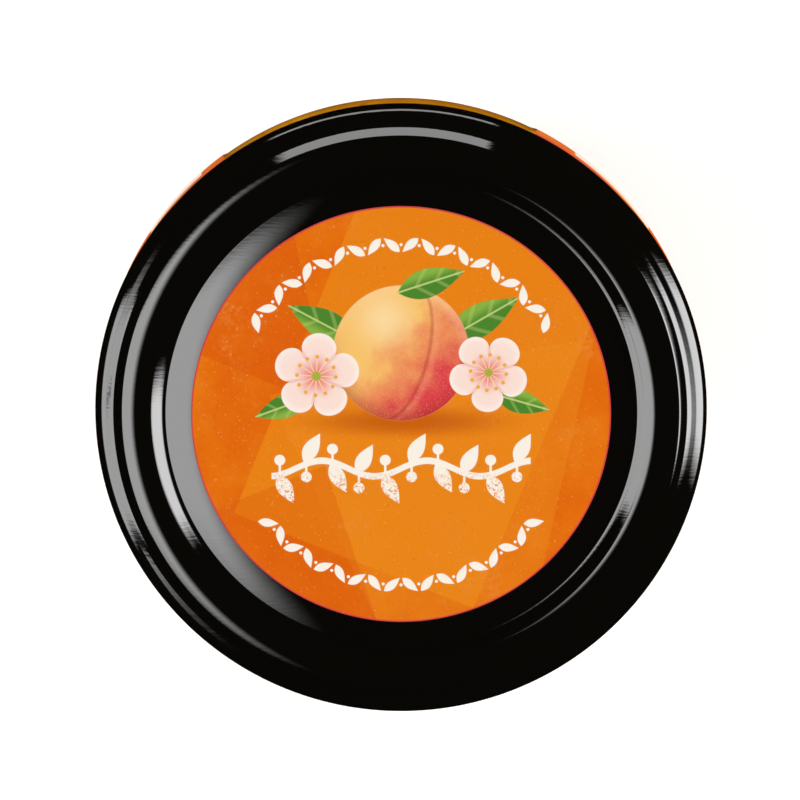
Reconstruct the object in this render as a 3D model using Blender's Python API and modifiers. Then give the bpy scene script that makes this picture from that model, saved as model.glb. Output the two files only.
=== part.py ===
"""A jam jar: a clear glass jar full of apricot jam, under a black twist-off lid with a round sticker.

The jar stands on its base ring, whose centre is the origin, with +Z up. The label's gap is at the
back, towards +Y. Driving sizes are in millimetres and degrees, and the meshes are in metres.
"""

import math

import bmesh
import bpy

MM = 0.001
SEGMENTS = 48
GAP = 0.3

# The lid: a 66 mm twist-off lid, whose skirt is 70.1 mm across where it is widest. Its top is a flat
# panel with a slope round it, a crease, a raised ring, a step down to a ledge, and the shoulder.
LID_RADIUS = 35.05
LID_SHEET = 0.4
PANEL_Z = 79.2
PANEL_FLAT_RADIUS = 23.2
PANEL_EDGE_ARC = 5.0
PANEL_EDGE_SLOPE = 12.0
CREASE_RADIUS = 26.75
CREASE_ARC = 0.3
RING_FOOT_SLOPE = 17.0
RING_FOOT_ARC = 2.8
RING_SLOPE = 35.0
RING_INNER_ARC = 4.4
RING_SHOULDER_SLOPE = 24.0
RING_TOP_ARC = 2.0
RING_FLAT = 0.35
RING_OUTER_ARC = 7.5
RING_OUTER_SLOPE = 17.0
STEP_EDGE_ARC = 0.25
STEP_SLOPE = 42.0
STEP_LENGTH = 0.65
STEP_FOOT_ARC = 1.2
LEDGE_SLOPE = 17.5
SHOULDER_ARC = 1.8
SKIRT_FOOT_RADIUS = 34.85

# The curl rolled round the skirt's foot, and the lugs where it grips the jar's thread.
CURL_OUTER_RADIUS = 35.2
CURL_ARC = 0.95
CURL_Z = 71.65
CURL_END_ANGLE = -215.0
LUG_COUNT = 4
LUG_HALF_ANGLE = 10.0
LUG_REACH = 0.5

# The jar's body, between the shoulder and the base ring.
BODY_TOP_RADIUS = 35.7
BODY_TOP_Z = 63.9
BODY_FOOT_RADIUS = 35.0
SHOULDER_RADIUS = 10.1
SHOULDER_END_ANGLE = 40.0
HEEL_ARC = 5.4
BASE_RING_INNER = 26.4
PUNT_DEPTH = 2.4
PUNT_CROWN = 0.4
PUNT_SIDE = 8.0

# The jar's inside.
WALL = 2.3
FLOOR_Z = 5.0
FLOOR_CROWN = 0.4
FLOOR_CORNER_ARC = 6.0
FLOOR_CORNER_START = -68.0
INNER_SHOULDER_END = 52.0

# The jar's finish, which the lid turns on to, from the lip down to the neck's foot.
LIP_Z = 78.8
LIP_RADIUS = 31.0
LIP_ARC = 0.9
MOUTH_RADIUS = 28.6
MOUTH_FOOT_Z = 72.3
FINISH_RADIUS = 32.5
FINISH_TOP_Z = 77.2
THREAD_RADIUS = 33.4
THREAD_TOP_Z = 74.7
THREAD_FOOT_Z = 73.0
THREAD_BEVEL = 0.6
NECK_RADIUS = 32.0
NECK_FOOT_Z = 71.4
NECK_FILLET = 0.4

# The jam, up to its level under the mouth, with a slight hollow in the middle of its top.
JAM_LEVEL_Z = 71.4
JAM_HOLLOW = 0.3
JAM_RIM = 4.0

# The printed papers.
STICKER_RADIUS = 23.84
PAPER = 0.2
LABEL_FOOT_Z = 10.4
LABEL_TOP_Z = 67.4
LABEL_GAP_FROM = 63.5
LABEL_GAP_TO = 125.9


class Outline:
    """A profile drawn as a sheet-metal worker bends it: straight runs and turns, in the X-Z plane."""

    def __init__(self, radius, height, heading=0.0):
        self.points = [(radius, height)]
        self.heading = heading

    def run(self, length):
        radius, height = self.points[-1]
        angle = math.radians(self.heading)
        self.points.append((radius + length * math.cos(angle), height + length * math.sin(angle)))
        return self

    def run_to_radius(self, radius):
        here = self.points[-1][0]
        return self.run((radius - here) / math.cos(math.radians(self.heading)))

    def turn(self, arc_radius, to_heading, steps):
        """Turns to a new heading along an arc, left if the heading grows and right if it falls."""
        side = 1.0 if to_heading > self.heading else -1.0
        start = math.radians(self.heading)
        end = math.radians(to_heading)
        radius, height = self.points[-1]
        centre_r = radius - side * arc_radius * math.sin(start)
        centre_z = height + side * arc_radius * math.cos(start)
        for step in range(1, steps + 1):
            angle = start + (end - start) * step / steps
            self.points.append((
                centre_r + side * arc_radius * math.sin(angle),
                centre_z - side * arc_radius * math.cos(angle),
            ))
        self.heading = to_heading
        return self


def arc(centre, radius, start, end, steps):
    """Points of an arc about a centre, from one angle to another, in degrees above the horizontal."""
    angles = [math.radians(start + (end - start) * step / steps) for step in range(steps + 1)]
    return [(centre[0] + radius * math.cos(a), centre[1] + radius * math.sin(a)) for a in angles]


def material(name, colour, roughness, metallic=0.0, transmission=0.0):
    made = bpy.data.materials.new(name)
    made.use_nodes = True
    shader = made.node_tree.nodes["Principled BSDF"]
    shader.inputs["Base Color"].default_value = (*colour, 1.0)
    shader.inputs["Roughness"].default_value = roughness
    shader.inputs["Metallic"].default_value = metallic
    shader.inputs["Transmission Weight"].default_value = transmission
    made.diffuse_color = (*colour, 1.0)
    return made


def object_of(name, mesh, finish, collection):
    made = bpy.data.objects.new(name, mesh)
    mesh.materials.append(finish)
    collection.objects.link(made)
    return made


def smooth(mesh, degrees=35.0):
    mesh.shade_smooth()
    mesh.set_sharp_from_angle(angle=math.radians(degrees))


def turned_mesh(name, points, turn=360.0, segments=SEGMENTS):
    """A profile in the X-Z plane turned about Z, as a mesh. Its ends on the axis close the solid."""
    profile = bpy.data.meshes.new(name + "_profile")
    corners = [(radius * MM, 0.0, height * MM) for radius, height in points]
    profile.from_pydata(corners, [(i, i + 1) for i in range(len(corners) - 1)], [])
    holder = bpy.data.objects.new(name + "_profile", profile)
    bpy.context.scene.collection.objects.link(holder)
    screw = holder.modifiers.new("Turn", "SCREW")
    screw.axis = "Z"
    screw.angle = math.radians(turn)
    screw.steps = segments
    screw.render_steps = segments
    screw.use_merge_vertices = turn == 360.0
    screw.merge_threshold = 0.00001
    screw.use_smooth_shade = True
    graph = bpy.context.evaluated_depsgraph_get()
    mesh = bpy.data.meshes.new_from_object(holder.evaluated_get(graph))
    mesh.name = name
    bpy.data.objects.remove(holder)
    bpy.data.meshes.remove(profile)
    return mesh


def jar_outer():
    """The outside of the glass, from the lip down to the base ring."""
    shoulder_centre = (BODY_TOP_RADIUS - SHOULDER_RADIUS, BODY_TOP_Z)
    heel_centre = (BODY_FOOT_RADIUS - HEEL_ARC, HEEL_ARC)
    return [
        *arc((LIP_RADIUS - LIP_ARC, LIP_Z - LIP_ARC), LIP_ARC, 90.0, 0.0, 3),
        (FINISH_RADIUS, FINISH_TOP_Z),
        (FINISH_RADIUS, THREAD_TOP_Z),
        (THREAD_RADIUS, THREAD_TOP_Z - THREAD_BEVEL),
        (THREAD_RADIUS, THREAD_FOOT_Z + THREAD_BEVEL),
        (NECK_RADIUS, THREAD_FOOT_Z),
        (NECK_RADIUS, NECK_FOOT_Z),
        (NECK_RADIUS + NECK_FILLET, NECK_FOOT_Z - NECK_FILLET),
        *arc(shoulder_centre, SHOULDER_RADIUS, SHOULDER_END_ANGLE, 0.0, 6),
        *arc(heel_centre, HEEL_ARC, 0.0, -90.0, 6),
        (BASE_RING_INNER, 0.0),
    ]


def glass_radius(height):
    """The outside of the glass at a height on the body or the shoulder."""
    if height >= BODY_TOP_Z:
        rise = height - BODY_TOP_Z
        return BODY_TOP_RADIUS - SHOULDER_RADIUS + math.sqrt(SHOULDER_RADIUS**2 - rise**2)
    share = (height - HEEL_ARC) / (BODY_TOP_Z - HEEL_ARC)
    return BODY_FOOT_RADIUS + share * (BODY_TOP_RADIUS - BODY_FOOT_RADIUS)


def jar_inner(inset=0.0):
    """The inside of the glass, from the centre of its floor up to the shoulder, drawn in by an inset."""
    top = BODY_TOP_RADIUS - WALL
    curve = SHOULDER_RADIUS - WALL
    floor_edge = FLOOR_Z - FLOOR_CROWN
    corner_centre = (BODY_FOOT_RADIUS - WALL - FLOOR_CORNER_ARC, floor_edge + FLOOR_CORNER_ARC)
    return [
        (0.0, FLOOR_Z + inset),
        (corner_centre[0], floor_edge + inset),
        *arc(corner_centre, FLOOR_CORNER_ARC - inset, FLOOR_CORNER_START, 0.0, 4),
        *arc((top - curve, BODY_TOP_Z), curve - inset, 0.0, INNER_SHOULDER_END, 4),
    ]


def build_jar(collection, finish):
    """The pressed glass jar, open at the mouth, on a base ring round a shallow punt."""
    mouth = [
        (MOUTH_RADIUS, MOUTH_FOOT_Z),
        *arc((MOUTH_RADIUS + LIP_ARC, LIP_Z - LIP_ARC), LIP_ARC, 180.0, 90.0, 2),
    ]
    punt = [
        (BASE_RING_INNER - PUNT_SIDE / 4.0, PUNT_DEPTH / 2.0),
        (BASE_RING_INNER - PUNT_SIDE, PUNT_DEPTH),
        (0.0, PUNT_DEPTH + PUNT_CROWN),
    ]
    mesh = turned_mesh("jar_glass", jar_inner() + mouth + jar_outer() + punt)
    smooth(mesh)
    return object_of("jar_glass", mesh, finish, collection)


def build_jam(collection, finish):
    """The jam, up to its level in the neck."""
    inner = jar_inner(GAP)
    edge = MOUTH_RADIUS
    top = [(0.0, JAM_LEVEL_Z - JAM_HOLLOW), (edge - JAM_RIM, JAM_LEVEL_Z - JAM_HOLLOW), (edge, JAM_LEVEL_Z)]
    mesh = turned_mesh("jam", top + inner[::-1])
    smooth(mesh)
    return object_of("jam", mesh, finish, collection)


def lid_outer():
    """The lacquered outside of the lid, from its centre to where the skirt meets the curl."""
    outline = Outline(0.0, PANEL_Z)
    outline.run_to_radius(PANEL_FLAT_RADIUS)
    outline.turn(PANEL_EDGE_ARC, -PANEL_EDGE_SLOPE, 2)
    outline.run_to_radius(CREASE_RADIUS)
    outline.turn(CREASE_ARC, RING_FOOT_SLOPE, 1)
    outline.turn(RING_FOOT_ARC, RING_SLOPE, 2)
    outline.turn(RING_INNER_ARC, RING_SHOULDER_SLOPE, 2)
    outline.turn(RING_TOP_ARC, 0.0, 2)
    outline.run(RING_FLAT)
    outline.turn(RING_OUTER_ARC, -RING_OUTER_SLOPE, 3)
    outline.turn(STEP_EDGE_ARC, -STEP_SLOPE, 1)
    outline.run(STEP_LENGTH)
    outline.turn(STEP_FOOT_ARC, -LEDGE_SLOPE, 2)
    shoulder_reach = SHOULDER_ARC * (1.0 - math.sin(math.radians(LEDGE_SLOPE)))
    outline.run_to_radius(LID_RADIUS - shoulder_reach)
    outline.turn(SHOULDER_ARC, -90.0, 5)
    return outline.points


def curl_angle():
    """How far round the curl, above its widest point, the skirt comes down on it."""
    return math.degrees(math.acos((SKIRT_FOOT_RADIUS - CURL_OUTER_RADIUS + CURL_ARC) / CURL_ARC))


def lid_inner(outside):
    """The inside of the lid: every second point of its outside, set in by the sheet's thickness."""
    inside = []
    for index in range(0, len(outside), 2):
        before = outside[max(index - 1, 0)]
        after = outside[min(index + 1, len(outside) - 1)]
        run = after[0] - before[0]
        rise = after[1] - before[1]
        scale = LID_SHEET / math.hypot(run, rise)
        radius, height = outside[index]
        inside.append((max(radius + rise * scale, 0.0), height - run * scale))
    skirt_foot = (SKIRT_FOOT_RADIUS - LID_SHEET, CURL_Z + CURL_ARC)
    return [skirt_foot] + inside[::-1]


def build_lid(collection, finish):
    """The tinplate twist-off lid: panel, raised ring, stepped shoulder, skirt, curl and lugs."""
    curl_centre = (CURL_OUTER_RADIUS - CURL_ARC, CURL_Z)
    curl = arc(curl_centre, CURL_ARC, curl_angle(), CURL_END_ANGLE, 9)
    outside = lid_outer()
    mesh = turned_mesh("lid", outside + curl + lid_inner(outside))
    press_lugs(mesh, curl_centre)
    smooth(mesh)
    return object_of("lid", mesh, finish, collection)


def press_lugs(mesh, curl_centre):
    """Pushes the inner side of the curl inwards at each lug, where it grips the jar's thread."""
    turn = 360.0 / LUG_COUNT
    inner_limit = curl_centre[0] - CURL_ARC / 3.0
    for vertex in mesh.vertices:
        radius = math.hypot(vertex.co.x, vertex.co.y) / MM
        height = vertex.co.z / MM
        if radius > inner_limit or abs(height - CURL_Z) > CURL_ARC:
            continue
        angle = math.degrees(math.atan2(vertex.co.y, vertex.co.x)) % turn
        if min(angle, turn - angle) > LUG_HALF_ANGLE:
            continue
        pull = (radius - LUG_REACH) / radius
        vertex.co.x *= pull
        vertex.co.y *= pull


def build_sticker(collection, finish):
    """The round paper sticker on the lid's panel."""
    shape = bmesh.new()
    bmesh.ops.create_cone(
        shape, cap_ends=True, segments=SEGMENTS, radius1=STICKER_RADIUS * MM,
        radius2=STICKER_RADIUS * MM, depth=PAPER * MM,
    )
    mesh = bpy.data.meshes.new("lid_sticker")
    shape.to_mesh(mesh)
    shape.free()
    made = object_of("lid_sticker", mesh, finish, collection)
    made.location.z = (PANEL_Z + GAP + PAPER / 2.0) * MM
    return made


def build_label(collection, finish):
    """The paper label round the body, with its gap at the back."""
    heights = [
        LABEL_TOP_Z, (LABEL_TOP_Z + BODY_TOP_Z) / 2.0, BODY_TOP_Z,
        (BODY_TOP_Z + LABEL_FOOT_Z) / 2.0, LABEL_FOOT_Z,
    ]
    points = [(glass_radius(z) + GAP, z) for z in heights]
    turn = 360.0 - (LABEL_GAP_TO - LABEL_GAP_FROM)
    mesh = turned_mesh("body_label", points, turn, round(SEGMENTS * turn / 360.0))
    made = object_of("body_label", mesh, finish, collection)
    made.rotation_euler.z = math.radians(LABEL_GAP_TO)
    paper = made.modifiers.new("Paper", "SOLIDIFY")
    paper.thickness = PAPER * MM
    paper.offset = 1.0
    paper.use_even_offset = True
    return made


def main():
    for old in list(bpy.data.objects):
        bpy.data.objects.remove(old)
    collection = bpy.data.collections.new("jam_jar")
    bpy.context.scene.collection.children.link(collection)
    build_jar(collection, material("clear_glass", (0.9, 0.95, 0.93), 0.03, transmission=0.9))
    build_jam(collection, material("apricot_jam", (0.62, 0.24, 0.02), 0.25))
    build_lid(collection, material("black_lacquer", (0.005, 0.005, 0.004), 0.08))
    build_sticker(collection, material("lid_print", (0.83, 0.23, 0.01), 0.6))
    build_label(collection, material("label_print", (0.8, 0.2, 0.01), 0.55))


main()
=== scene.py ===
import math

import bpy
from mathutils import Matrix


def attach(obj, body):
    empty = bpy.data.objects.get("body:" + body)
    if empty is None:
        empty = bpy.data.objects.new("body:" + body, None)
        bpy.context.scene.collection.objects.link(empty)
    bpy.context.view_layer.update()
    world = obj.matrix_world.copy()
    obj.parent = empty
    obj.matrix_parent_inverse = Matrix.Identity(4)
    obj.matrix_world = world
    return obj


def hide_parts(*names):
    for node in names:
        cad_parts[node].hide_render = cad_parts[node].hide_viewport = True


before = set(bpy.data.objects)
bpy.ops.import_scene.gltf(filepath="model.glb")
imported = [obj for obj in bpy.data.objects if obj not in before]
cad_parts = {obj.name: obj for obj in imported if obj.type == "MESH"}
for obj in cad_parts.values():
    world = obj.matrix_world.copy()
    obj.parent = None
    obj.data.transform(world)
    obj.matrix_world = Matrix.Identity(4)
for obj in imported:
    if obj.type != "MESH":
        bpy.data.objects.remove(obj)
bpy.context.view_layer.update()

# The view is the photograph's: from almost straight above the lid, leaning eight degrees from the
# upright towards the label's gap at the back, close enough for the shoulder to hide the skirt.
MM = 0.001
LID_TOP = 79.62 * MM
VIEW_DISTANCE = 282.0 * MM
VIEW_LEAN = math.radians(8.0)
LENS_ASIDE = -0.12 * MM
LENS_BACK = 0.12 * MM
AIM_BACK = 1.87 * MM
IMAGE_SIDE = 800
FOCAL_PIXELS = 2484.0
SENSOR_WIDTH = 36.0

camera_data = bpy.data.cameras.new("camera")
camera_data.sensor_width = SENSOR_WIDTH
camera_data.lens = FOCAL_PIXELS / IMAGE_SIDE * SENSOR_WIDTH
camera_data.clip_start = 10.0 * MM
camera = bpy.data.objects.new("camera", camera_data)
bpy.context.scene.collection.objects.link(camera)
lens_back = LENS_BACK + VIEW_DISTANCE * math.sin(VIEW_LEAN)
lens_above_lid = VIEW_DISTANCE * math.cos(VIEW_LEAN)
camera.location = (LENS_ASIDE, lens_back, LID_TOP + lens_above_lid)
camera.rotation_euler = (-math.atan2(lens_back - AIM_BACK, lens_above_lid), 0.0, 0.0)
bpy.context.scene.camera = camera
bpy.context.scene.view_settings.view_transform = "Standard"


# The studio: a soft box overhead to the left with another standing under it, one standing at the right
# and a low one at the back, over a pale table. Nothing stands in front, so the lacquer stays black there.
class Wire:
    """A socket of a node tree. Sums written with it add Math nodes, and add() makes any other node."""

    def __init__(self, socket):
        self.socket = socket

    @classmethod
    def add(cls, tree, kind, settings=None, inputs=None, output=0):
        """Makes a node: first its settings, then the values or links of its inputs."""
        made = tree.nodes.new(kind)
        for name, value in (settings or {}).items():
            if name == "stops":
                ramp = made.color_ramp.elements
                while len(ramp) < len(value):
                    ramp.new(1.0)
                for stop, (position, colour) in zip(ramp, value):
                    stop.position = position
                    stop.color = (*colour, 1.0)
            else:
                setattr(made, name, value)
        for name, value in (inputs or {}).items():
            if isinstance(value, Wire):
                tree.links.new(value.socket, made.inputs[name])
            else:
                made.inputs[name].default_value = value
        return cls(made.outputs[output])

    def beside(self, name):
        """Another output of the same node."""
        return Wire(self.socket.node.outputs[name])

    def sum(self, operation, *numbers):
        """A Math node on numbers and sockets."""
        inputs = {place: number for place, number in enumerate(numbers)}
        return Wire.add(self.socket.id_data, "ShaderNodeMath", {"operation": operation}, inputs)

    def __add__(self, other):
        return self.sum("ADD", self, other)

    def __radd__(self, other):
        return self.sum("ADD", other, self)

    def __sub__(self, other):
        return self.sum("SUBTRACT", self, other)

    def __rsub__(self, other):
        return self.sum("SUBTRACT", other, self)

    def __mul__(self, other):
        return self.sum("MULTIPLY", self, other)

    def __rmul__(self, other):
        return self.sum("MULTIPLY", other, self)

    def __truediv__(self, other):
        return self.sum("DIVIDE", self, other)

    def __rtruediv__(self, other):
        return self.sum("DIVIDE", other, self)

    def __pow__(self, other):
        return self.sum("POWER", self, other)

    def __mod__(self, other):
        return self.sum("FLOORED_MODULO", self, other)

    def __abs__(self):
        return self.sum("ABSOLUTE", self)

    def fade(self, none, full):
        """0 where the value is at or before none, 1 where it is at or past full, and smooth between."""
        span = (self - none) / (full - none)
        return Wire.add(
            self.socket.id_data, "ShaderNodeMapRange", {"interpolation_type": "SMOOTHSTEP"}, {"Value": span}
        )

    def mixed(self, other, share):
        """This colour with a share of another laid over it."""
        return Wire.add(
            self.socket.id_data, "ShaderNodeMix", {"data_type": "RGBA"}, {0: share, 6: self, 7: other}, 2
        )


def soft_box(name, size, radiance, near, soft, place, turn):
    """An area light of a given radiance, whose strength fades towards its edges. near gives, as shares of
    the width, where it is out and where it is full at the +X edge, and how far that edge is slanted. soft
    gives the shares that the fading takes at the -X, -Y and +Y edges."""
    light = bpy.data.lights.new(name, "AREA")
    light.shape = "RECTANGLE"
    light.size, light.size_y = size
    light.energy = math.pi * size[0] * size[1] * radiance
    light.use_nodes = True
    tree = light.node_tree
    spot = Wire.add(tree, "ShaderNodeNewGeometry", output="Parametric")
    across = Wire.add(tree, "ShaderNodeSeparateXYZ", {}, {0: spot}, "X")
    upward = across.beside("Y")
    slanted = across - near[2] * (upward - 0.5)
    strength = slanted.fade(near[0], near[1]) * across.fade(0.0, soft[0])
    strength = strength * upward.fade(0.0, soft[1]) * upward.fade(1.0, 1.0 - soft[2])
    tree.links.new(strength.socket, tree.nodes["Emission"].inputs["Strength"])
    made = bpy.data.objects.new(name, light)
    made.location = place
    made.rotation_euler = turn
    made.visible_camera = False
    bpy.context.scene.collection.objects.link(made)


# Where the boxes hang, as multiples of their distance from the lid. Those on the left are turned a little
# towards the front, and the one overhead fades away towards the middle.
REACH = 1.60
UPRIGHT = math.radians(90.0)
LEFT_TURN = math.radians(8.5)
LEFT_RADIANCE = 3.15
OVERHEAD_NEAR, OVERHEAD_FAR, OVERHEAD_WIDE, OVERHEAD_ASIDE = -0.03, 0.935, 1.37, -0.237
SIDE_FOOT, SIDE_TOP, SIDE_WIDE, SIDE_ASIDE = 0.38, 1.07, 0.98, -0.02
RIGHT_FOOT, RIGHT_TOP, RIGHT_WIDE, RIGHT_ASIDE = 0.06, 1.20, 0.88, 0.02
RIGHT_RADIANCE = 5.9
BACK_FOOT, BACK_TOP, BACK_WIDE, BACK_ASIDE = 0.0, 0.31, 0.97, -0.095
BACK_RADIANCE = 2.25


def left_place(away, aside, rise):
    """A place to the left of the lid on the turned axis, moved aside to the back."""
    x = -away * math.cos(LEFT_TURN) - aside * math.sin(LEFT_TURN)
    y = -away * math.sin(LEFT_TURN) + aside * math.cos(LEFT_TURN)
    return (x * REACH, y * REACH, LID_TOP + rise * REACH)


soft_box(
    "overhead_left", size=((OVERHEAD_FAR - OVERHEAD_NEAR) * REACH, OVERHEAD_WIDE * REACH),
    radiance=LEFT_RADIANCE, near=(0.74, 0.48, 0.25), soft=(0.01, 0.49, 0.19),
    place=left_place((OVERHEAD_NEAR + OVERHEAD_FAR) / 2.0, OVERHEAD_ASIDE, 1.0),
    turn=(0.0, 0.0, LEFT_TURN),
)
soft_box(
    "standing_left", size=((SIDE_TOP - SIDE_FOOT) * REACH, SIDE_WIDE * REACH),
    radiance=LEFT_RADIANCE, near=(1.0, 0.99, 0.0), soft=(0.17, 0.12, 0.12),
    place=left_place(1.0, SIDE_ASIDE, (SIDE_FOOT + SIDE_TOP) / 2.0),
    turn=(0.0, -UPRIGHT, LEFT_TURN),
)
soft_box(
    "standing_right", size=((RIGHT_TOP - RIGHT_FOOT) * REACH, RIGHT_WIDE * REACH),
    radiance=RIGHT_RADIANCE, near=(1.0, 0.88, 0.0), soft=(0.30, 0.24, 0.24),
    place=(REACH, RIGHT_ASIDE * REACH, LID_TOP + (RIGHT_FOOT + RIGHT_TOP) / 2.0 * REACH),
    turn=(0.0, UPRIGHT, 0.0),
)
soft_box(
    "low_back", size=(BACK_WIDE * REACH, (BACK_TOP - BACK_FOOT) * REACH),
    radiance=BACK_RADIANCE, near=(1.0, 0.96, 0.0), soft=(0.09, 0.04, 0.04),
    place=(BACK_ASIDE * REACH, REACH, LID_TOP + (BACK_FOOT + BACK_TOP) / 2.0 * REACH),
    turn=(-UPRIGHT, 0.0, 0.0),
)

AMBIENT = 0.45
ROOM_WHITE = 1.0
world = bpy.data.worlds.new("studio")
world.use_nodes = True
bpy.context.scene.world = world
rays = Wire.add(world.node_tree, "ShaderNodeLightPath", output="Is Camera Ray")
room_seen = rays.sum("MAXIMUM", rays, rays.beside("Is Transmission Ray"))
room_light = (AMBIENT + (ROOM_WHITE - AMBIENT) * room_seen) * (1.0 - rays.beside("Is Glossy Ray"))
world.node_tree.links.new(room_light.socket, world.node_tree.nodes["Background"].inputs["Strength"])
world.node_tree.nodes["Background"].inputs["Color"].default_value = (1.0, 0.99, 0.98, 1.0)

TABLE_HALF = 2.0
TABLE_DROP = 0.1 * MM
TABLE_GLOW = 0.42
table_mesh = bpy.data.meshes.new("table")
table_corners = [
    (x * TABLE_HALF, y * TABLE_HALF, -TABLE_DROP) for x, y in ((-1, -1), (1, -1), (1, 1), (-1, 1))
]
table_mesh.from_pydata(table_corners, [], [(0, 1, 2, 3)])
table = bpy.data.objects.new("table", table_mesh)
bpy.context.scene.collection.objects.link(table)
table_paint = bpy.data.materials.new("table_paint")
table_paint.use_nodes = True
table_nodes = table_paint.node_tree
table_shader = table_nodes.nodes["Principled BSDF"]
table_shader.inputs["Base Color"].default_value = (0.78, 0.78, 0.78, 1.0)
table_shader.inputs["Roughness"].default_value = 0.7
table_shader.inputs["Emission Color"].default_value = (1.0, 1.0, 1.0, 1.0)
table_shader.inputs["Emission Strength"].default_value = TABLE_GLOW
rays = Wire.add(table_nodes, "ShaderNodeLightPath", output="Is Glossy Ray")
dark = Wire.add(table_nodes, "ShaderNodeEmission", {}, {"Color": (0.0, 0.0, 0.0, 1.0)})
table_seen = Wire.add(
    table_nodes, "ShaderNodeMixShader", {}, {0: rays, 1: Wire(table_shader.outputs["BSDF"]), 2: dark}
)
table_nodes.links.new(table_seen.socket, table_nodes.nodes["Material Output"].inputs["Surface"])
table_mesh.materials.append(table_paint)


# The jar is pressed from clear glass in a mould: a round body that widens a little to its shoulder, a
# neck with the thread that the lid grips, a lip, and a base ring pressed with fine ribs round a punt.
class Outline:
    """A profile drawn as straight runs and turns, from the axis outwards and down the outside."""

    def __init__(self, radius, height, heading=0.0):
        self.points = [(radius, height)]
        self.heading = heading

    def run(self, length):
        """Goes straight on."""
        radius, height = self.points[-1]
        angle = math.radians(self.heading)
        self.points.append((radius + length * math.cos(angle), height + length * math.sin(angle)))
        return self

    def run_to_radius(self, radius):
        """Goes straight on as far as a distance from the axis."""
        here = self.points[-1][0]
        return self.run((radius - here) / math.cos(math.radians(self.heading)))

    def turn(self, arc_radius, to_heading, step=4.0):
        """Follows an arc to a new heading, in degrees above the way outwards."""
        side = 1.0 if to_heading > self.heading else -1.0
        steps = max(2, math.ceil(abs(to_heading - self.heading) / step))
        start = math.radians(self.heading)
        end = math.radians(to_heading)
        radius, height = self.points[-1]
        centre_r = radius - side * arc_radius * math.sin(start)
        centre_z = height + side * arc_radius * math.cos(start)
        for number in range(1, steps + 1):
            angle = start + (end - start) * number / steps
            self.points.append((
                centre_r + side * arc_radius * math.sin(angle),
                centre_z - side * arc_radius * math.cos(angle),
            ))
        self.heading = to_heading
        return self


def arc(centre, radius, start, end, step=4.0):
    """Points of an arc about a centre, between two angles in degrees above the horizontal."""
    steps = max(2, math.ceil(abs(end - start) / step))
    angles = [math.radians(start + (end - start) * number / steps) for number in range(steps + 1)]
    return [(centre[0] + radius * math.cos(a), centre[1] + radius * math.sin(a)) for a in angles]


def new_geometry_tree(name, inputs):
    """An empty Geometry Nodes tree with a mesh input and output, and the named inputs between them."""
    tree = bpy.data.node_groups.new(name, "GeometryNodeTree")
    tree.interface.new_socket("Mesh", in_out="INPUT", socket_type="NodeSocketGeometry")
    for label, kind in inputs:
        tree.interface.new_socket(label, in_out="INPUT", socket_type="NodeSocket" + kind)
    tree.interface.new_socket("Mesh", in_out="OUTPUT", socket_type="NodeSocketGeometry")
    tree.nodes.new("NodeGroupInput")
    tree.nodes.new("NodeGroupOutput")
    return tree


def end_geometry_tree(tree, shape, finish):
    """Ends a tree with real meshes and their material."""
    shape = Wire.add(tree, "GeometryNodeRealizeInstances", {}, {"Geometry": shape})
    shape = Wire.add(tree, "GeometryNodeSetMaterial", {}, {"Geometry": shape, "Material": finish})
    tree.links.new(shape.socket, tree.nodes["Group Output"].inputs[0])


def grown(name, seed_mesh, tree, values):
    """A plain mesh object made by a Geometry Nodes tree from a seed mesh and the tree's inputs."""
    seed = bpy.data.objects.new(name + "_seed", seed_mesh)
    bpy.context.scene.collection.objects.link(seed)
    modifier = seed.modifiers.new("Grow", "NODES")
    modifier.node_group = tree
    for socket in tree.interface.items_tree:
        if socket.in_out == "INPUT" and socket.name in values:
            modifier[socket.identifier] = values[socket.name]
    graph = bpy.context.evaluated_depsgraph_get()
    mesh = bpy.data.meshes.new_from_object(seed.evaluated_get(graph))
    mesh.name = name
    seed.modifiers.remove(modifier)
    bpy.data.objects.remove(seed)
    made = bpy.data.objects.new(name, mesh)
    bpy.context.scene.collection.objects.link(made)
    return made


def build_turning_tree():
    """Turns a profile about Z: a grid whose rows take the profile's points at each angle of the sweep."""
    tree = new_geometry_tree("turning", [
        ("Segments", "Int"), ("Start", "Float"), ("Sweep", "Float"), ("Finish", "Material"),
    ])
    ask = Wire(tree.nodes["Group Input"].outputs["Mesh"])
    points = Wire.add(
        tree, "GeometryNodeAttributeDomainSize", {"component": "MESH"}, {"Geometry": ask}, "Point Count"
    )
    columns = ask.beside("Segments") + 1.0
    grid = Wire.add(tree, "GeometryNodeMeshGrid", {}, {"Vertices X": points, "Vertices Y": columns})
    index = Wire.add(tree, "GeometryNodeInputIndex")
    column = index % columns
    row = (index - column) / columns
    place = Wire.add(
        tree, "GeometryNodeSampleIndex", {"data_type": "FLOAT_VECTOR"},
        {"Geometry": ask, "Value": Wire.add(tree, "GeometryNodeInputPosition"), "Index": row + 0.1},
    )
    radius = Wire.add(tree, "ShaderNodeSeparateXYZ", {}, {0: place}, "X")
    angle = ask.beside("Start") + ask.beside("Sweep") * column / ask.beside("Segments")
    place = Wire.add(tree, "ShaderNodeCombineXYZ", {}, {
        "X": radius * angle.sum("COSINE", angle),
        "Y": radius * angle.sum("SINE", angle),
        "Z": radius.beside("Z"),
    })
    shape = Wire.add(tree, "GeometryNodeSetPosition", {}, {"Geometry": grid, "Position": place})
    shape = Wire.add(tree, "GeometryNodeMergeByDistance", {}, {"Geometry": shape, "Distance": 0.001 * MM})
    shape = Wire.add(tree, "GeometryNodeSetShadeSmooth", {}, {"Geometry": shape})
    end_geometry_tree(tree, shape, ask.beside("Finish"))
    return tree


turning_tree = build_turning_tree()
FULL_TURN = 2.0 * math.pi


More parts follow.
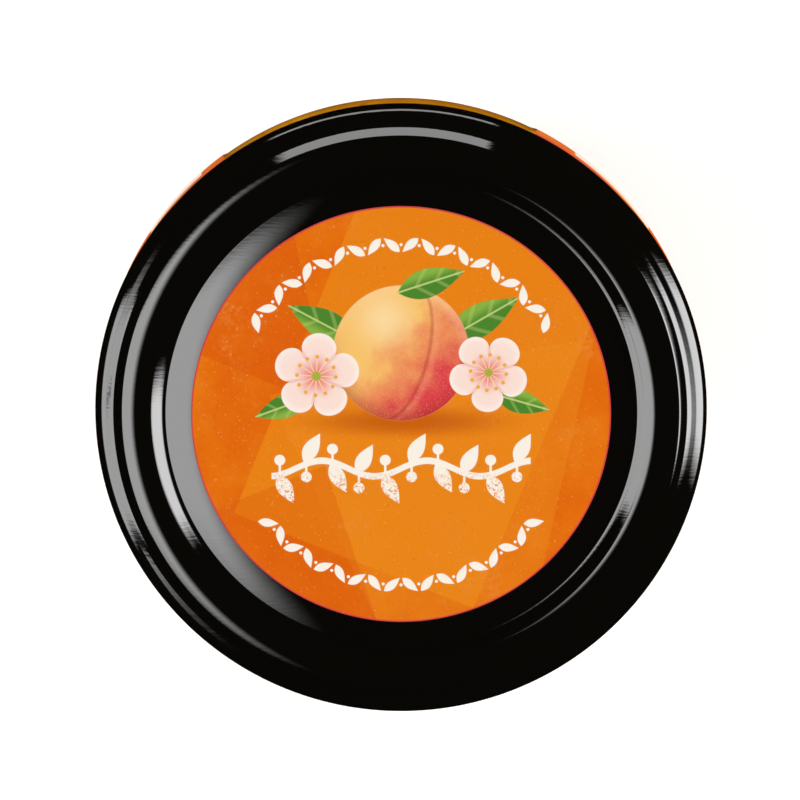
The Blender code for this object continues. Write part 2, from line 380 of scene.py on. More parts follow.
def turned(name, points, finish, segments, start=0.0, sweep=FULL_TURN, sharp_from=40.0):
    """A piece turned from a profile of (radius, height) points in millimetres."""
    profile = bpy.data.meshes.new(name + "_profile")
    corners = [(radius * MM, 0.0, height * MM) for radius, height in points]
    profile.from_pydata(corners, [(i, i + 1) for i in range(len(corners) - 1)], [])
    made = grown(name, profile, turning_tree, {
        "Segments": segments, "Start": start, "Sweep": sweep, "Finish": finish,
    })
    made.data.set_sharp_from_angle(angle=math.radians(sharp_from))
    return made


def stand_in(piece, node):
    """Lets a piece stand for a node of the frame, in its place on the jar and with its finish."""
    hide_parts(node)
    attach(piece, "root")


BODY_TOP_RADIUS = 35.7
BODY_TOP_Z = 63.9
BODY_FOOT_RADIUS = 35.0
SHOULDER_RADIUS = 10.1
SHOULDER_END_ANGLE = 40.0
HEEL_ARC = 5.4
RING_INNER = 26.4
RIB_CIRCLE = RING_INNER + 1.6
RIB_RISE = 0.2
RIB_LENGTH = 6.5
RIB_WIDTH = 1.6
RIB_COUNT = 110
PUNT_SLOPE_RADIUS = RING_INNER - 2.0
PUNT_FLAT_RADIUS = RING_INNER - 8.0
PUNT_DEPTH = 2.4
WALL = 2.3
FLOOR_Z = 5.0
FLOOR_DOME = 0.4
FLOOR_CORNER = 6.0
MOUTH_RADIUS = 28.6
MOUTH_FOOT_Z = 72.3
LIP_Z = 78.8
LIP_ARC = 0.9
LIP_RADIUS = 31.0
FINISH_RADIUS = 32.5
FINISH_TOP_Z = 77.2
THREAD_RADIUS = 33.4
THREAD_Z = 73.85
THREAD_ARC = 0.85
NECK_RADIUS = 32.0
NECK_FOOT_Z = 71.4


def inside_of_jar(inset):
    """The inside of the glass from the middle of its floor to the top of its shoulder, drawn in."""
    corner = (BODY_FOOT_RADIUS - WALL - FLOOR_CORNER, FLOOR_Z - FLOOR_DOME + FLOOR_CORNER)
    shoulder = (BODY_TOP_RADIUS - SHOULDER_RADIUS, BODY_TOP_Z)
    return [
        (0.0, FLOOR_Z + inset),
        (corner[0], FLOOR_Z - FLOOR_DOME + inset),
        *arc(corner, FLOOR_CORNER - inset, -68.0, 0.0),
        *arc(shoulder, SHOULDER_RADIUS - WALL - inset, 0.0, 52.0),
    ]


def outside_of_jar():
    """The outside of the glass from the lip down to the base ring."""
    return [
        *arc((LIP_RADIUS - LIP_ARC, LIP_Z - LIP_ARC), LIP_ARC, 90.0, 0.0, 10.0),
        (FINISH_RADIUS, FINISH_TOP_Z),
        (FINISH_RADIUS, THREAD_Z + THREAD_ARC + 0.2),
        *arc((THREAD_RADIUS - THREAD_ARC, THREAD_Z), THREAD_ARC, 75.0, -75.0, 15.0),
        (NECK_RADIUS, THREAD_Z - THREAD_ARC - 0.4),
        (NECK_RADIUS, NECK_FOOT_Z),
        *arc(
            (BODY_TOP_RADIUS - SHOULDER_RADIUS, BODY_TOP_Z), SHOULDER_RADIUS, SHOULDER_END_ANGLE, 0.0, 2.5
        ),
        *arc((BODY_FOOT_RADIUS - HEEL_ARC, HEEL_ARC), HEEL_ARC - RIB_RISE, 0.0, -90.0)[1:],
    ]


glass = bpy.data.materials.new("clear_glass")
glass.use_nodes = True
glass_shader = glass.node_tree.nodes["Principled BSDF"]
glass_shader.inputs["Base Color"].default_value = (0.97, 0.99, 0.98, 1.0)
glass_shader.inputs["Roughness"].default_value = 0.0
glass_shader.inputs["Transmission Weight"].default_value = 1.0
glass_shader.inputs["IOR"].default_value = 1.5
mouth = [
    (MOUTH_RADIUS, MOUTH_FOOT_Z),
    *arc((MOUTH_RADIUS + LIP_ARC, LIP_Z - LIP_ARC), LIP_ARC, 180.0, 90.0, 10.0),
]
punt = [
    (RING_INNER, RIB_RISE), (PUNT_SLOPE_RADIUS, PUNT_DEPTH / 2.0), (PUNT_FLAT_RADIUS, PUNT_DEPTH),
    (0.0, PUNT_DEPTH + FLOOR_DOME),
]
jar = turned("jar_glass_smooth", inside_of_jar(0.0) + mouth + outside_of_jar() + punt, glass, 240)
jar.visible_shadow = False
stand_in(jar, "jar_glass")


def build_rib_tree():
    """Fine ribs pressed round the base ring: a long bead at each point of a circle, turned outwards."""
    tree = new_geometry_tree("base_ribs", [
        ("Count", "Int"), ("Radius", "Float"), ("Rise", "Float"), ("Length", "Float"), ("Width", "Float"),
        ("Finish", "Material"),
    ])
    ask = Wire(tree.nodes["Group Input"].outputs["Mesh"])
    ring = Wire.add(
        tree, "GeometryNodeMeshCircle", {},
        {"Vertices": ask.beside("Count"), "Radius": ask.beside("Radius")},
    )
    bead = Wire.add(tree, "GeometryNodeMeshIcoSphere", {}, {"Radius": ask.beside("Rise"), "Subdivisions": 2})
    index = Wire.add(tree, "GeometryNodeInputIndex")
    turn = Wire.add(tree, "ShaderNodeCombineXYZ", {}, {"Z": index * FULL_TURN / ask.beside("Count")})
    stretch = Wire.add(
        tree, "ShaderNodeCombineXYZ", {}, {"X": ask.beside("Length"), "Y": ask.beside("Width"), "Z": 1.0}
    )
    shape = Wire.add(
        tree, "GeometryNodeInstanceOnPoints", {},
        {"Points": ring, "Instance": bead, "Rotation": turn, "Scale": stretch},
    )
    lift = Wire.add(tree, "ShaderNodeCombineXYZ", {}, {"Z": ask.beside("Rise")})
    shape = Wire.add(tree, "GeometryNodeTransform", {}, {"Geometry": shape, "Translation": lift})
    shape = Wire.add(tree, "GeometryNodeSetShadeSmooth", {}, {"Geometry": shape})
    end_geometry_tree(tree, shape, ask.beside("Finish"))
    return tree


ribs = grown("base_ribs", bpy.data.meshes.new("rib_seed"), build_rib_tree(), {
    "Count": RIB_COUNT, "Radius": RIB_CIRCLE * MM, "Rise": RIB_RISE * MM, "Length": RIB_LENGTH,
    "Width": RIB_WIDTH, "Finish": glass,
})
ribs.visible_shadow = False
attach(ribs, "root")


# The jam is a soft set of cooked apricot, poured in hot up to the neck. It lies against the glass all
# round, so it is drawn a little way into the wall, where no air shows between them.
JAM_LEVEL_Z = 71.4
JAM_DIP = 0.3
JAM_RISE_RADIUS = MOUTH_RADIUS - 4.0
JAM_INTO_WALL = 0.08
# The strength of the jam's painted glow, in place of light coming through the jelly.
JAM_PAINTED_GLOW = 0.68
JAM_DEEP = (0.38, 0.140, 0.003)
JAM_MIDDLE = (0.48, 0.195, 0.006)
JAM_LIGHT = (0.57, 0.250, 0.014)
FRUIT_PALE = (0.66, 0.31, 0.030, 1.0)
RIND_DARK = (0.33, 0.085, 0.003, 1.0)

jam_finish = bpy.data.materials.new("apricot_jam")
jam_finish.use_nodes = True
jam_nodes = jam_finish.node_tree
jam_shader = jam_nodes.nodes["Principled BSDF"]
jam_place = Wire.add(jam_nodes, "ShaderNodeTexCoord", output="Object")
jam_cloud = Wire.add(
    jam_nodes, "ShaderNodeTexNoise", {},
    {"Vector": jam_place, "Scale": 130.0, "Detail": 4.0, "Roughness": 0.55},
)
bent_place = Wire.add(
    jam_nodes, "ShaderNodeVectorMath", {"operation": "MULTIPLY_ADD"},
    {0: jam_cloud.beside("Color"), 1: (0.006, 0.006, 0.006), 2: jam_place},
)
fruit_pieces = Wire.add(
    jam_nodes, "ShaderNodeTexVoronoi", {"feature": "SMOOTH_F1"},
    {"Vector": bent_place, "Scale": 115.0, "Smoothness": 0.4},
)
fibres = Wire.add(
    jam_nodes, "ShaderNodeTexNoise", {},
    {"Vector": bent_place, "Scale": 620.0, "Detail": 3.0, "Roughness": 0.6},
)
jam_colour = Wire.add(
    jam_nodes, "ShaderNodeValToRGB",
    {"stops": [(0.30, JAM_DEEP), (0.52, JAM_MIDDLE), (0.72, JAM_LIGHT)]}, {0: jam_cloud},
)
piece = fruit_pieces.fade(0.42, 0.16)
pale_piece = jam_colour.mixed(FRUIT_PALE, piece * fibres.fade(0.36, 0.62) * 0.75)
rind = abs(fruit_pieces - 0.46).fade(0.10, 0.0) * fibres.fade(0.52, 0.62)
jam_painted = pale_piece.mixed(RIND_DARK, rind * 0.7)
jam_nodes.links.new(jam_painted.socket, jam_shader.inputs["Base Color"])
# The jam's colours also feed its emission, a painted glow whose strength is set below.
jam_nodes.links.new(jam_painted.socket, jam_shader.inputs["Emission Color"])
jam_wet = 0.16 + 0.16 * piece
jam_nodes.links.new(jam_wet.socket, jam_shader.inputs["Roughness"])
jam_relief = Wire.add(
    jam_nodes, "ShaderNodeBump", {}, {"Strength": 0.5, "Distance": 0.25 * MM, "Height": piece + fibres * 0.3}
)
jam_nodes.links.new(jam_relief.socket, jam_shader.inputs["Normal"])
jam_shader.inputs["IOR"].default_value = 1.42
# Painted light: the jam glows in its own colours, standing in for light from the pale room behind the jar
# that comes through the jelly.
jam_shader.inputs["Emission Strength"].default_value = JAM_PAINTED_GLOW
jam_top = [
    (0.0, JAM_LEVEL_Z - JAM_DIP), (JAM_RISE_RADIUS, JAM_LEVEL_Z - JAM_DIP), (MOUTH_RADIUS, JAM_LEVEL_Z),
]
jam = turned("jam_smooth", jam_top + inside_of_jar(-JAM_INTO_WALL)[::-1], jam_finish, 160)
stand_in(jam, "jam")


# The lid is pressed from tinplate and lacquered black all over: a flat panel that slopes down to a
# crease, a raised ring, a step, a sloping shoulder and a skirt, rolled in at the foot, with four lugs.
PANEL_Z = 79.5
PANEL_FLAT_RADIUS = 23.2
CREASE_RADIUS = 26.76
RAISED_RING_END = 30.07
SHOULDER_EDGE_RADIUS = 33.6
SKIRT_RADIUS = 34.85
LID_SHEET = 0.22
CURL_CENTRE = (34.25, 71.65)
CURL_ARC = 0.95
LUG_COUNT = 4
LUG_HALF_ANGLE = 10.0
LUG_REACH = 0.5
LACQUER_UNEVEN = 0.0045 * MM


def lid_outside():
    """The lacquered outside of the lid, from its centre to the skirt's foot."""
    outline = Outline(0.0, PANEL_Z)
    outline.run_to_radius(10.0)
    outline.run_to_radius(PANEL_FLAT_RADIUS)
    # The panel's sloping edge, down to the crease.
    outline.turn(5.0, -7.3, 2.0)
    outline.turn(29.5, -13.0, 0.5)
    outline.run_to_radius(CREASE_RADIUS)
    # The rise from the crease to the raised ring's flat top.
    outline.turn(0.3, 17.0)
    outline.turn(2.35, 36.0, 2.0)
    outline.turn(4.6, 25.0, 2.0)
    outline.turn(0.2, 16.5, 2.0)
    outline.turn(3.6, 0.0, 2.0)
    outline.run_to_radius(RAISED_RING_END)
    # The ring's rounded outer side, the step below it and the sloping shoulder.
    outline.turn(5.23, -17.0, 1.5)
    outline.turn(0.4, -39.5)
    outline.turn(19.0, -42.5, 0.5)
    outline.turn(1.7, -17.2, 3.0)
    outline.run_to_radius(SHOULDER_EDGE_RADIUS)
    # The bend into the upright skirt.
    outline.turn(2.8, -38.0, 2.0)
    outline.turn(1.44, -90.0, 4.0)
    return outline.points


def set_in(points, depth):
    """A profile set in by a depth, at right angles to itself, from its end back to its start."""
    inside = []
    for number, (radius, height) in enumerate(points):
        before = points[max(number - 1, 0)]
        after = points[min(number + 1, len(points) - 1)]
        run = after[0] - before[0]
        rise = after[1] - before[1]
        scale = depth / math.hypot(run, rise)
        inside.append((max(radius + rise * scale, 0.0), height - run * scale))
    return inside[::-1]


lacquer = bpy.data.materials.new("black_lacquer")
lacquer.use_nodes = True
lacquer_shader = lacquer.node_tree.nodes["Principled BSDF"]
lacquer_shader.inputs["Base Color"].default_value = (0.0026, 0.0023, 0.0016, 1.0)
lacquer_shader.inputs["IOR"].default_value = 1.93

lacquer_nodes = lacquer.node_tree
lacquer_place = Wire.add(lacquer_nodes, "ShaderNodeTexCoord", output="Object")
rolled_place = Wire.add(
    lacquer_nodes, "ShaderNodeVectorMath", {"operation": "MULTIPLY"}, {0: lacquer_place, 1: (0.14, 1.0, 0.14)}
)
rolled = Wire.add(
    lacquer_nodes, "ShaderNodeTexNoise", {}, {"Vector": rolled_place, "Scale": 3600.0, "Detail": 1.0}
)
orange_peel = Wire.add(
    lacquer_nodes, "ShaderNodeTexNoise", {}, {"Vector": lacquer_place, "Scale": 420.0, "Detail": 2.0}
)
# The sheet's rolling direction shows through the lacquer as faint streaks along X.
lacquer_relief = Wire.add(
    lacquer_nodes, "ShaderNodeBump", {},
    {"Strength": 1.0, "Distance": LACQUER_UNEVEN, "Height": rolled + orange_peel * 0.4},
)
lacquer_nodes.links.new(lacquer_relief.socket, lacquer_shader.inputs["Normal"])
lacquer_haze = 0.022 + 0.026 * orange_peel
lacquer_nodes.links.new(lacquer_haze.socket, lacquer_shader.inputs["Roughness"])

outside = lid_outside()
skirt_foot = (SKIRT_RADIUS - LID_SHEET, CURL_CENTRE[1] + CURL_ARC)
curl = arc(CURL_CENTRE, CURL_ARC, 50.8, -215.0, 10.0)
lid = turned("lid_smooth", outside + curl + [skirt_foot] + set_in(outside, LID_SHEET), lacquer, 256)

# The lugs are the places where the curl is pulled in towards the axis.
for vertex in lid.data.vertices:
    radius = math.hypot(vertex.co.x, vertex.co.y) / MM
    height = vertex.co.z / MM
    if radius > CURL_CENTRE[0] - CURL_ARC / 3.0 or abs(height - CURL_CENTRE[1]) > CURL_ARC:
        continue
    turn = 360.0 / LUG_COUNT
    angle = math.degrees(math.atan2(vertex.co.y, vertex.co.x)) % turn
    share = 1.0 - min(angle, turn - angle) / LUG_HALF_ANGLE
    if share > 0.0:
        pull = 1.0 - LUG_REACH * min(share * 3.0, 1.0) / radius
        vertex.co.x *= pull
        vertex.co.y *= pull
stand_in(lid, "lid")


# The sticker is a round of uncoated paper stuck on the lid's panel. Its print has fields of orange ink,
# a round fruit between two blossoms, a chalky garland under it, and an arc of small leaves top and bottom.
STICKER_RADIUS = 23.84
STICKER_FOOT_Z = 79.51
STICKER_TOP_Z = 79.62
STICKER_EDGE = 0.03
PAPER_LIGHT = 1.195
GROUND_DEEP = (225, 101, 6)
GROUND_MIDDLE = (230, 112, 9)
GROUND_LIGHT = (233, 124, 20)
FIELD_LIGHT = (235, 133, 18)
FIELD_DEEP = (218, 84, 4)
SHADOW_BROWN = (178, 56, 2)
RIM_PINK = (206, 52, 74)
CREAM = (252, 243, 229)
PANEL_PALE = (250, 232, 214)


def ink(red, green, blue):
    """The colour of an ink from its look on a screen under the studio's light."""
    shares = [level / 255.0 for level in (red, green, blue)]
    linear = [share / 12.92 if share < 0.04045 else ((share + 0.055) / 1.055)**2.4 for share in shares]
    return (*(level / PAPER_LIGHT for level in linear), 1.0)


def leaf_shape(along, aside, half_length, half_width, edge=0.05):
    """A pointed leaf, from measures along and across its middle rib."""
    share = along / half_length
    taper = share.sum("MAXIMUM", 1.0 - 0.35 * share, 0.2)
    width = (1.0 - share * share) * taper * half_width
    return (width - abs(aside)).fade(-edge, edge)


class Plate:
    """A print's drawing plane in millimetres, and the colour that has been laid on it so far."""

    def __init__(self, x, y, place):
        self.x = x
        self.y = y
        self.place = place
        self.tree = x.socket.id_data
        self.colour = None

    def noise(self, per_mm, detail=2.0, roughness=0.5, shift=0.0):
        """A cloud pattern, with another shift for each use of it."""
        settings = {"noise_dimensions": "4D"}
        inputs = {"Vector": self.place, "W": shift, "Scale": per_mm, "Detail": detail, "Roughness": roughness}
        return Wire.add(self.tree, "ShaderNodeTexNoise", settings, inputs)

    def lay(self, mask, colour):
        """Prints a colour over all that lies under it, as strongly as the mask says."""
        self.colour = self.colour.mixed(colour, mask)

    def seen_from(self, x, y, degrees=0.0):
        """The two measures from a point, with the first axis turned."""
        cosine = math.cos(math.radians(degrees))
        sine = math.sin(math.radians(degrees))
        across = self.x - x
        up = self.y - y
        return across * cosine + up * sine, up * cosine - across * sine

    def away_from(self, x, y, x_scale=1.0, y_scale=1.0):
        """The distance from a point, as a share of each scale."""
        across, up = self.seen_from(x, y)
        return ((across / x_scale)**2.0 + (up / y_scale)**2.0)**0.5

    def facet(self, *sides):
        """A field inside straight sides, each given by the direction it faces and its distance out."""
        inside = 1.0
        for facing, distance in sides:
            angle = math.radians(facing)
            over = self.x * math.cos(angle) + self.y * math.sin(angle)
            inside = over.fade(distance + 0.07, distance - 0.07) * inside
        return inside

    def wash(self):
        """The ground: orange ink mottled between deeper and lighter tones."""
        mottle = self.noise(0.16, 5.0, 0.62)
        self.colour = Wire.add(
            self.tree, "ShaderNodeValToRGB",
            {"stops": [
                (0.34, ink(*GROUND_DEEP)[:3]),
                (0.52, ink(*GROUND_MIDDLE)[:3]),
                (0.68, ink(*GROUND_LIGHT)[:3]),
            ]},
            {0: mottle},
        )

    def grain(self):
        """The paper's fine grain over all that is printed."""
        blooms = self.noise(0.22, 3.0, 0.6, 7.0).fade(0.5, 0.72)
        blooms = blooms * self.noise(1.9, 3.0, 0.7, 3.0).fade(0.42, 0.66)
        self.lay(blooms * 0.42, ink(238, 146, 66))
        self.lay(self.noise(3.1, 1.0, 0.5, 11.0).fade(0.66, 0.74) * 0.4, ink(244, 170, 98))
        self.lay(self.noise(2.4, 2.0, 0.6, 5.0).fade(0.60, 0.74) * 0.30, ink(205, 70, 4))

    def green_leaf(self, x, y, degrees, length, width):
        """A leaf with a pale middle rib and fine side ribs, given by half its length and width."""
        along, aside = self.seen_from(x, y, degrees)
        shape = leaf_shape(along, aside, length, width)
        self.lay(shape, ink(76, 134, 44))
        self.lay(shape * aside.fade(-0.1 * width, 0.75 * width) * 0.75, ink(150, 190, 74))
        ribs = ((along - abs(aside)) * 4.2 / width).sum("SINE", (along - abs(aside)) * 4.2 / width)
        self.lay(shape * ribs.fade(0.55, 1.0) * 0.28, ink(196, 214, 120))
        self.lay(shape * abs(aside).fade(0.16, 0.04) * 0.8, ink(206, 220, 132))

    def blossom(self, x, y, degrees, reach):
        """Five pale petals round a ring of stamens."""
        along, aside = self.seen_from(x, y, degrees)
        distance = (along * along + aside * aside)**0.5
        angle = aside.sum("ARCTAN2", aside, along)
        lobe = abs((angle * 2.5).sum("COSINE", angle * 2.5))
        edge = reach * (0.52 + 0.48 * lobe**0.42)
        petals = (edge - distance).fade(-0.06, 0.06)
        share = distance / edge
        self.lay(petals, ink(253, 226, 214))
        self.lay(petals * share.fade(0.62, 0.1), ink(240, 138, 132))
        self.lay(petals * lobe.fade(0.30, 0.02) * share.fade(0.1, 0.5) * 0.55, ink(232, 158, 148))
        veins = (angle * 60.0).sum("SINE", angle * 60.0).fade(0.2, 1.0)
        self.lay(petals * veins * share.fade(0.95, 0.3) * 0.22, ink(236, 150, 146))
        self.lay(petals * share.fade(0.80, 1.0) * 0.6, ink(255, 246, 238))
        spoke = ((angle * (6.0 / math.pi)) % 1.0 - 0.5) * distance * (math.pi / 6.0)
        threads = abs(spoke).fade(0.09, 0.03) * distance.fade(0.44 * reach, 0.40 * reach)
        knobs = (spoke**2.0 + (distance - 0.45 * reach)**2.0)**0.5
        self.lay(threads * 0.8, ink(252, 222, 160))
        self.lay(knobs.fade(0.26, 0.16), ink(238, 168, 40))
        self.lay(distance.fade(0.13 * reach, 0.08 * reach), ink(170, 176, 62))

    def fruit(self, x, y, radius):
        """A round stone fruit with a red blush, a seam and a soft bloom."""
        along, aside = self.seen_from(x, y, -14.0)
        along = along / radius
        aside = aside / radius
        share = (along * along + aside * aside)**0.5
        shape = share.fade(1.0 + 0.07 / radius, 1.0 - 0.07 / radius)
        bloom = self.noise(0.35, 4.0, 0.6, 2.0)
        blush = (along * 0.62 - aside * 0.30 + (bloom - 0.5) * 0.9).fade(-0.28, 0.58)
        self.lay(shape, ink(250, 196, 108))
        self.lay(shape * blush, ink(222, 66, 72))
        self.lay(shape * (blush * (1.0 - blush)) * 1.6, ink(243, 132, 84))
        side = (1.0 - aside * aside).sum("MAXIMUM", 1.0 - aside * aside, 0.0)**0.5 * 0.40
        seam = abs(along - side)
        self.lay(shape * seam.fade(0.050, 0.0) * 0.5, ink(176, 40, 48))
        self.lay(shape * abs(along - side - 0.07).fade(0.09, 0.0) * 0.3, ink(246, 150, 120))
        self.lay(shape * share.fade(0.72, 1.04) * aside.fade(0.3, -0.9) * 0.62, ink(168, 40, 34))
        glow = ((along + 0.36)**2.0 + (aside - 0.42)**2.0)**0.5
        self.lay(shape * glow.fade(0.62, 0.0) * 0.62, ink(255, 230, 178))
        self.lay(shape * share.fade(0.80, 1.0) * aside.fade(-0.2, 0.9) * 0.35, ink(255, 214, 170))
        self.lay(shape * self.noise(5.0, 1.0, 0.5, 4.0).fade(0.56, 0.72) * 0.16, ink(255, 226, 190))

    def garland(self, y, half_length):
        """A waving stem with a leaf and a berry in turn on each side, as if drawn in chalk."""
        pace = 3.0
        sway = 0.9
        turn = math.pi / (2.0 * pace)
        cell = (self.x / pace).sum("FLOOR", self.x / pace)
        side = 1.0 - 2.0 * (cell % 2.0)
        middle = (cell + 0.5) * pace
        stem = (self.x * turn).sum("SINE", self.x * turn) * sway + y
        root = (middle * turn).sum("SINE", middle * turn) * sway + y
        across = self.x - middle
        up = (self.y - root) * side
        along = (across - 0.35) * 0.50 + (up - 1.75) * 0.87
        aside = (up - 1.75) * 0.50 - (across - 0.35) * 0.87
        drawn = abs(self.y - stem).fade(0.42, 0.34)
        drawn = drawn.sum("MAXIMUM", drawn, leaf_shape(along, aside, 1.9, 0.85))
        berry = ((across + 0.30)**2.0 + (up + 1.60)**2.0)**0.5
        drawn = drawn.sum("MAXIMUM", drawn, berry.fade(0.66, 0.58))
        stalk = abs(across + 0.30).fade(0.17, 0.11) * abs(up + 0.80).fade(0.86, 0.80)
        drawn = drawn.sum("MAXIMUM", drawn, stalk)
        drawn = drawn * abs(self.x).fade(half_length + 0.05, half_length - 0.05)
        worn = self.noise(4.6, 3.0, 0.7, 9.0).fade(0.40, 0.50)
        worn = 1.0 - (1.0 - worn) * (self.y - y).fade(0.6, -2.6)
        self.lay(drawn * worn, ink(*CREAM))

    def arc_of_leaves(self, radius, middle, half_turn):
        """Small slanted leaves with dots between them, on an arc about the plate's centre."""
        pitch = 6.0
        distance = self.away_from(0.0, 0.0)
        angle = self.y.sum("ARCTAN2", self.y, self.x) * (180.0 / math.pi)
        share = ((angle - middle + 540.0) % 360.0 - 180.0) / pitch
        cell = share.sum("FLOOR", share)
        across = (share - cell - 0.5) * math.radians(pitch) * radius
        slant = 1.0 - 2.0 * (cell % 2.0)
        up = (distance - radius) * slant
        shape = leaf_shape(across * 0.72 + up * 0.69, up * 0.72 - across * 0.69, 1.18, 0.47)
        dot = ((abs(across) - math.radians(pitch) * radius / 2.0)**2.0 + (distance - radius)**2.0)**0.5
        drawn = shape.sum("MAXIMUM", shape, dot.fade(0.21, 0.14))
        self.lay(drawn * abs(share * pitch).fade(half_turn - 0.5, half_turn - 0.6), ink(*CREAM))

    def bar(self, x, y, half_width, half_height):
        """A pale blank field with square corners."""
        across, up = self.seen_from(x, y)
        shape = abs(across).fade(half_width + 0.05, half_width - 0.05)
        shape = shape * abs(up).fade(half_height + 0.05, half_height - 0.05)
        self.lay(shape, ink(*PANEL_PALE))
        return shape

    def ruled_panel(self, x, y, half_width, half_height):
        """A pale blank field with fine rules across it."""
        shape = self.bar(x, y, half_width, half_height)
        across, up = self.seen_from(x, y)
        rule = abs((up / 2.4) % 1.0 - 0.5)
        inner = abs(across).fade(half_width - 0.9, half_width - 1.0)
        self.lay(shape * rule.fade(0.06, 0.03) * inner * 0.8, ink(222, 120, 60))


def print_paper(name, plate_of, draw):
    """Makes a printed paper: plate_of lays out its plane from the piece's own place, and draw paints it."""
    paper = bpy.data.materials.new(name)
    paper.use_nodes = True
    tree = paper.node_tree
    shader = tree.nodes["Principled BSDF"]
    place = Wire.add(tree, "ShaderNodeTexCoord", output="Object")
    place = Wire.add(tree, "ShaderNodeVectorMath", {"operation": "SCALE"}, {0: place, "Scale": 1.0 / MM})
    plate = plate_of(place)
    draw(plate)
    tree.links.new(plate.colour.socket, shader.inputs["Base Color"])
    fibre = plate.noise(6.0, 3.0, 0.6, 1.0)
    roughness = 0.56 + 0.14 * fibre
    tree.links.new(roughness.socket, shader.inputs["Roughness"])
    relief = Wire.add(tree, "ShaderNodeBump", {}, {"Strength": 0.35, "Distance": 0.02 * MM, "Height": fibre})
    tree.links.new(relief.socket, shader.inputs["Normal"])
    shader.inputs["Specular IOR Level"].default_value = 0.04
    return paper


def flat_plate(place):
    """The sticker's plane, which is flat and level."""
    x = Wire.add(place.socket.id_data, "ShaderNodeSeparateXYZ", {}, {0: place}, "X")
    return Plate(x, x.beside("Y"), place)


def draw_sticker(plate):
    """Prints the sticker: the ground and its fields, the fruit and flowers, then the borders."""
    plate.wash()
    main_field = plate.facet((158.0, 13.5), (-22.0, 16.0), (76.0, 24.0), (-112.0, 17.5))
    plate.lay(main_field * 0.85, ink(*FIELD_LIGHT))
    plate.lay(plate.facet((100.0, 5.0), (-12.0, 19.5), (205.0, 12.5)) * 0.35, ink(238, 142, 28))
    plate.lay(plate.facet((248.0, 2.0), (12.0, -7.5)) * 0.5, ink(*FIELD_DEEP))
    plate.lay(plate.facet((112.0, -2.0), (18.0, -10.0)) * 0.4, ink(220, 92, 8))
    plate.grain()
    plate.lay(plate.away_from(0.6, -0.6, 15.5, 2.4).fade(1.0, 0.15) * 0.6, ink(*SHADOW_BROWN))
    plate.green_leaf(-8.9, 10.6, 152.0, 4.4, 1.7)
    plate.green_leaf(9.3, 11.2, 30.0, 4.6, 1.8)
    plate.green_leaf(-13.6, 1.0, 200.0, 3.2, 1.3)
    plate.green_leaf(13.8, 1.6, -16.0, 3.2, 1.3)
    plate.fruit(0.0, 7.2, 7.7)
    plate.green_leaf(3.4, 15.3, 18.0, 4.0, 1.6)
    plate.blossom(-9.6, 4.6, 12.0, 4.9)
    plate.blossom(9.9, 5.0, -20.0, 4.5)
    plate.garland(-6.0, 14.75)
    plate.arc_of_leaves(19.5, 90.0, 60.0)
    plate.arc_of_leaves(19.5, 270.0, 54.0)
    rim = plate.away_from(0.0, 0.0)
    plate.lay(rim.fade(STICKER_RADIUS - 0.22, STICKER_RADIUS - 0.12) * 0.85, ink(*RIM_PINK))


sticker_print = print_paper("sticker_print", flat_plate, draw_sticker)
sticker_edge = [
    (0.0, STICKER_TOP_Z), (12.0, STICKER_TOP_Z), (STICKER_RADIUS - STICKER_EDGE, STICKER_TOP_Z),
    (STICKER_RADIUS, STICKER_TOP_Z - STICKER_EDGE), (STICKER_RADIUS, STICKER_FOOT_Z), (0.0, STICKER_FOOT_Z),
]
sticker = turned("sticker_paper", sticker_edge, sticker_print, 256)
stand_in(sticker, "lid_sticker")


# The label is a strip of the same uncoated paper, printed to match the sticker. It is glued round the body
# and over the foot of the shoulder, and its ends leave a gap of bare glass at the back.
LABEL_FOOT_Z = 10.4
LABEL_TOP_Z = 67.4
LABEL_GAP_FROM = math.radians(63.5)
LABEL_GAP_TO = math.radians(125.9)
LABEL_OFF_GLASS = 0.03
LABEL_PAPER = 0.12
LABEL_SHOULDER_STEPS = 9
LABEL_SHOULDER_STEP = 0.4
LABEL_BODY_STEPS = 12
# The blank fields: their bearings from the label's front, in degrees, and half their widths.
LABEL_FIELDS = ((135.0, 6.2), (-131.5, 4.6))


def label_radius(height, off_glass):
    """How far out the paper lies at a height, on the body's slope or round its shoulder."""
    if height > BODY_TOP_Z:
        reach = math.sqrt(SHOULDER_RADIUS**2 - (height - BODY_TOP_Z)**2)
        return BODY_TOP_RADIUS - SHOULDER_RADIUS + reach + off_glass
    share = (height - HEEL_ARC) / (BODY_TOP_Z - HEEL_ARC)
    return BODY_FOOT_RADIUS + share * (BODY_TOP_RADIUS - BODY_FOOT_RADIUS) + off_glass


def wrapped_plate(place):
    """The label's plane: the way round the jar from its front, and the height from its middle."""
    x = Wire.add(place.socket.id_data, "ShaderNodeSeparateXYZ", {}, {0: place}, "X")
    turn = x.sum("ARCTAN2", x, 0.0 - x.beside("Y"))
    return Plate(turn * BODY_TOP_RADIUS, x.beside("Z") - (LABEL_FOOT_Z + LABEL_TOP_Z) / 2.0, place)


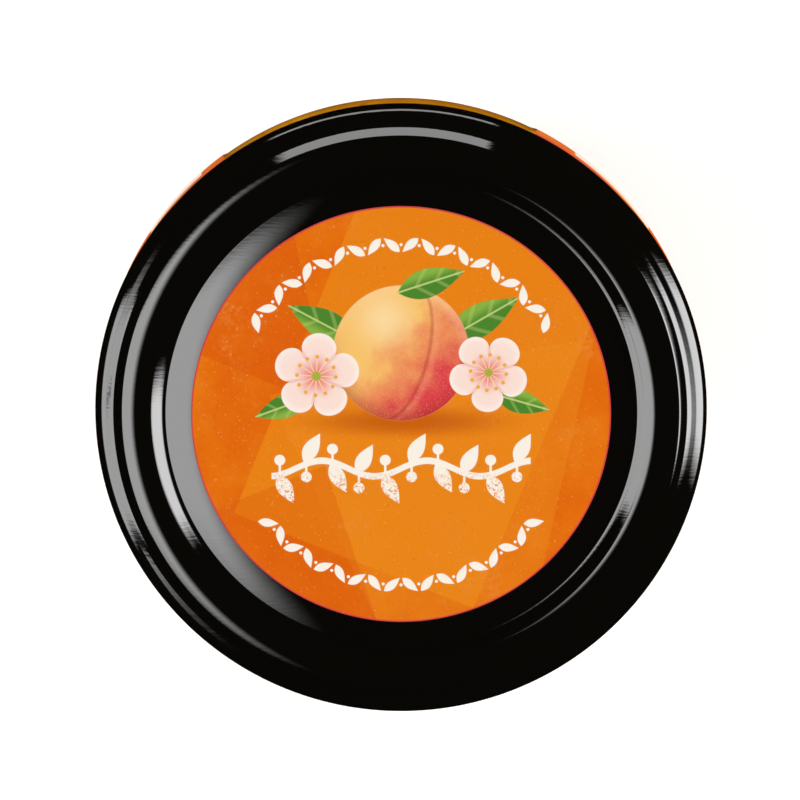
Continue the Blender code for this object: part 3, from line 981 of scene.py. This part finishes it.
def draw_label(plate):
    """Prints the label: the sticker's design at half as large again, with blank fields at its ends."""
    plate.wash()
    main_field = plate.facet((158.0, 22.0), (-22.0, 24.0), (70.0, 21.0), (-110.0, 20.0))
    plate.lay(main_field * 0.85, ink(*FIELD_LIGHT))
    plate.lay(plate.facet((100.0, 6.0), (-15.0, 34.0), (208.0, 26.0)) * 0.45, ink(237, 140, 24))
    plate.lay(plate.facet((240.0, -18.0), (80.0, 40.0)) * 0.5, ink(*FIELD_DEEP))
    plate.lay(plate.facet((125.0, -30.0), (35.0, 60.0)) * 0.5, ink(236, 128, 20))
    plate.grain()
    plate.lay(plate.away_from(1.0, -5.2, 23.0, 3.4).fade(1.0, 0.15) * 0.6, ink(*SHADOW_BROWN))
    plate.green_leaf(-13.6, 11.2, 150.0, 6.4, 2.6)
    plate.green_leaf(14.2, 12.0, 28.0, 6.8, 2.7)
    plate.green_leaf(-20.5, -2.6, 198.0, 4.8, 2.0)
    plate.green_leaf(20.6, -1.8, -14.0, 4.8, 2.0)
    plate.fruit(0.0, 6.4, 11.4)
    plate.green_leaf(4.9, 18.6, 16.0, 5.6, 2.3)
    plate.blossom(-14.4, 2.6, 10.0, 7.2)
    plate.blossom(14.6, 3.0, -22.0, 6.6)
    plate.garland(-12.5, 20.75)
    plate.garland(-23.6, 74.75)
    for bearing, half_width in LABEL_FIELDS:
        middle = math.radians(bearing) * BODY_TOP_RADIUS
        plate.ruled_panel(middle, 3.0, half_width, 16.8)
        plate.bar(middle, 26.7, half_width, 0.75)
    rims = abs(plate.y)
    half = (LABEL_TOP_Z - LABEL_FOOT_Z) / 2.0
    plate.lay(rims.fade(half - 0.35, half - 0.25) * 0.85, ink(*RIM_PINK))


label_print = print_paper("label_print", wrapped_plate, draw_label)
label_heights = [LABEL_TOP_Z - LABEL_SHOULDER_STEP * step for step in range(LABEL_SHOULDER_STEPS)]
for step in range(1, LABEL_BODY_STEPS + 1):
    label_heights.append(BODY_TOP_Z - (BODY_TOP_Z - LABEL_FOOT_Z) * step / LABEL_BODY_STEPS)
label_faces = [(label_radius(z, LABEL_OFF_GLASS + LABEL_PAPER), z) for z in label_heights]
label_backs = [(label_radius(z, LABEL_OFF_GLASS), z) for z in label_heights[::-1]]
label_loop = label_faces + label_backs
label = turned(
    "label_paper", label_loop + label_loop[:1], label_print, 220,
    LABEL_GAP_TO, FULL_TURN - (LABEL_GAP_TO - LABEL_GAP_FROM),
)
stand_in(label, "body_label")
